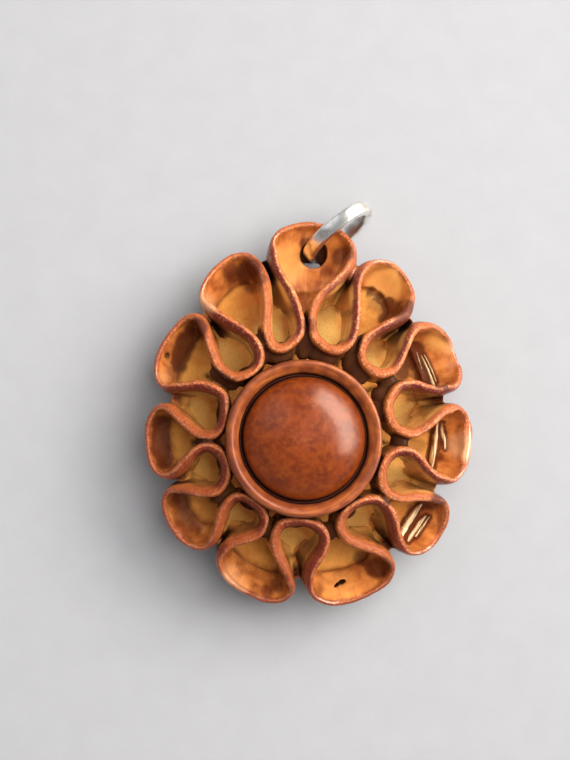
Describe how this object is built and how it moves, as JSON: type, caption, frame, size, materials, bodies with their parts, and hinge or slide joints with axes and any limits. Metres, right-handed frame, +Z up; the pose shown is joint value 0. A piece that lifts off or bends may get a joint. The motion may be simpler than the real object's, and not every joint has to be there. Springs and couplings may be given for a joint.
{
  "type": "carved apricot stone pendant",
  "caption": "Apricot stone carved into a hollow flower: a winding petal wall round a domed medallion, with a metal jump ring through its tip.",
  "frame": {"origin": "on the surface that the stone rests on, straight below the middle of the carved medallion", "axes": "+Z up out of the carved side; +Y towards the pierced tip that holds the jump ring; +X to the right seen from above"},
  "size_m": [0.0257, 0.0317, 0.0112],
  "materials": {
    "carved_stone": "hard seed shell, stained reddish brown and polished",
    "ring_metal": "polished silver wire"
  },
  "bodies": {
    "stone": {"carved_pit": "carved_stone"},
    "ring": {"jump_ring": "ring_metal"}
  },
  "joints": [
    {"name": "ring_swing", "type": "hinge", "parent": "stone", "child": "ring", "pos_m": [0.0018, 0.01475, 0.0025], "axis": [0, 0, 1], "range_deg": [-15, 105]}
  ]
}
